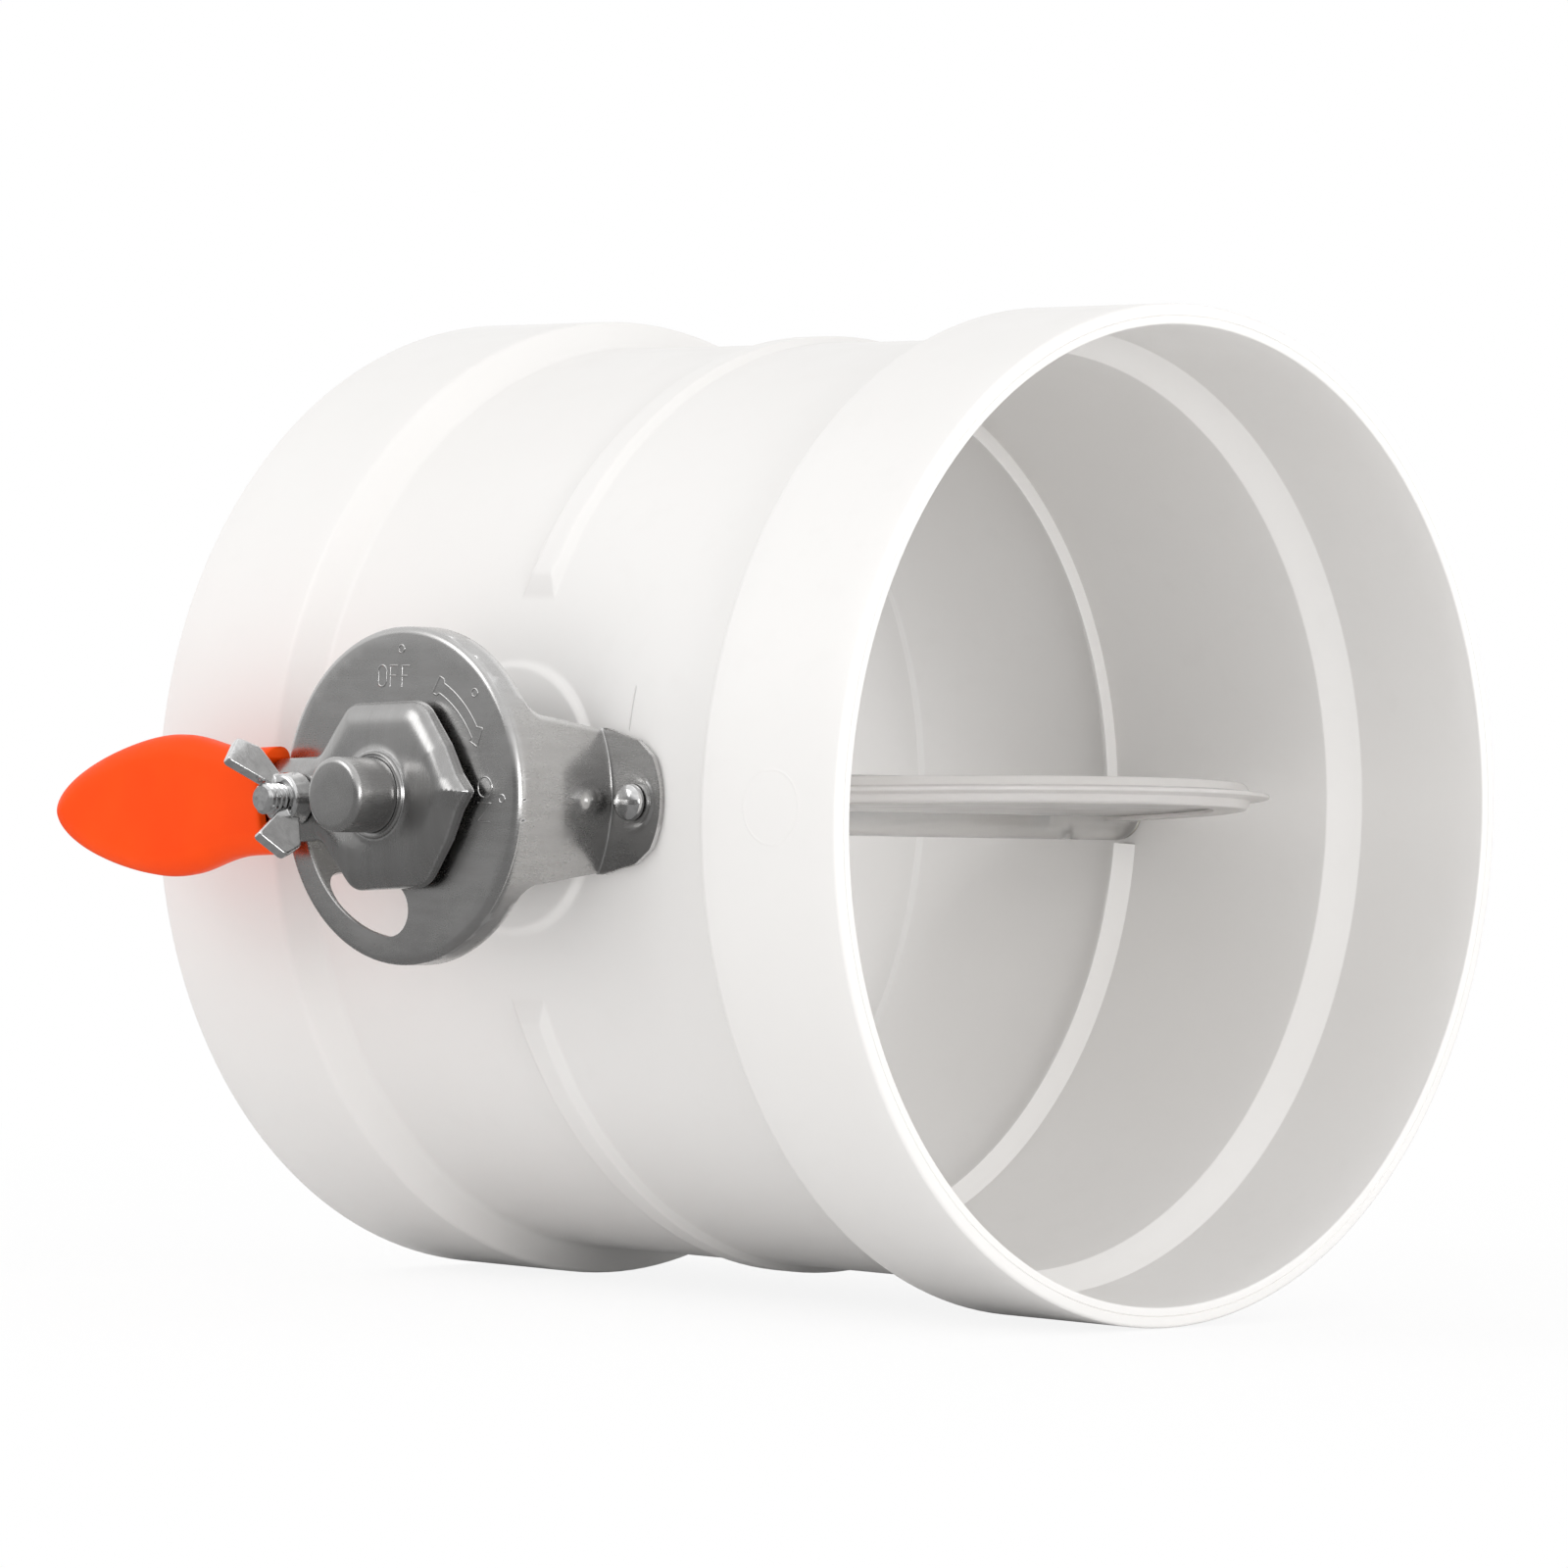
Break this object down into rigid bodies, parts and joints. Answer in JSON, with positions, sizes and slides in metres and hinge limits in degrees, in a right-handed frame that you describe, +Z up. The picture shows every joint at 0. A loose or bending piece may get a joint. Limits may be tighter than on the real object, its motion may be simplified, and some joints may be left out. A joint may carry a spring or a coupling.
{
  "type": "manual volume control damper",
  "caption": "Round duct damper with a sealed butterfly blade on a cross shaft, turned by a hand lever over a dial bracket and locked by a wing nut.",
  "frame": {"origin": "where the duct's axis meets the shaft's axis, at the middle of the body's length", "axes": "+X along the duct, towards the open end that the picture shows; the shaft lies along Y with the dial and lever at -Y; +Z up"},
  "size_m": [0.1934, 0.2536, 0.206],
  "materials": {
    "white_plastic": "smooth moulded, satin white",
    "clear_plastic": "natural translucent, smooth",
    "seal_rubber": "soft, translucent white",
    "black_rubber": "matt",
    "nylon": "natural, satin",
    "brushed_steel": "brushed stainless",
    "bright_zinc": "bright zinc plate",
    "orange_vinyl": "smooth soft vinyl, satin"
  },
  "bodies": {
    "duct": {"duct_body": "white_plastic", "front_bushing": "nylon", "rear_bushing": "nylon", "front_shaft_seal": "black_rubber", "rear_shaft_seal": "black_rubber", "rear_pivot_cap": "white_plastic", "dial_bracket": "brushed_steel", "left_foot_screw": "bright_zinc", "right_foot_screw": "bright_zinc"},
    "rotor": {"blade": "clear_plastic", "blade_seal_right": "seal_rubber", "blade_seal_left": "seal_rubber", "front_hub_screw": "bright_zinc", "rear_hub_screw": "bright_zinc", "drive_shaft": "brushed_steel", "rear_pivot_pin": "bright_zinc", "shaft_retaining_ring": "brushed_steel", "lever_spacer": "nylon", "lever": "brushed_steel", "grip": "orange_vinyl", "lock_bolt": "bright_zinc", "lock_bolt_washer": "bright_zinc", "lock_bolt_spacer": "nylon"},
    "wing_nut": {"wing_nut": "bright_zinc"}
  },
  "joints": [
    {"name": "blade_turn", "type": "hinge", "parent": "duct", "child": "rotor", "pos_m": [0, 0, 0], "axis": [0, -1, 0], "range_deg": [-3.3, 86.7]},
    {"name": "wing_nut_turn", "type": "hinge", "parent": "rotor", "child": "wing_nut", "pos_m": [-0.02266, -0.1345, -0.00131], "axis": [0, -1, 0], "range_deg": [0, 360]}
  ]
}
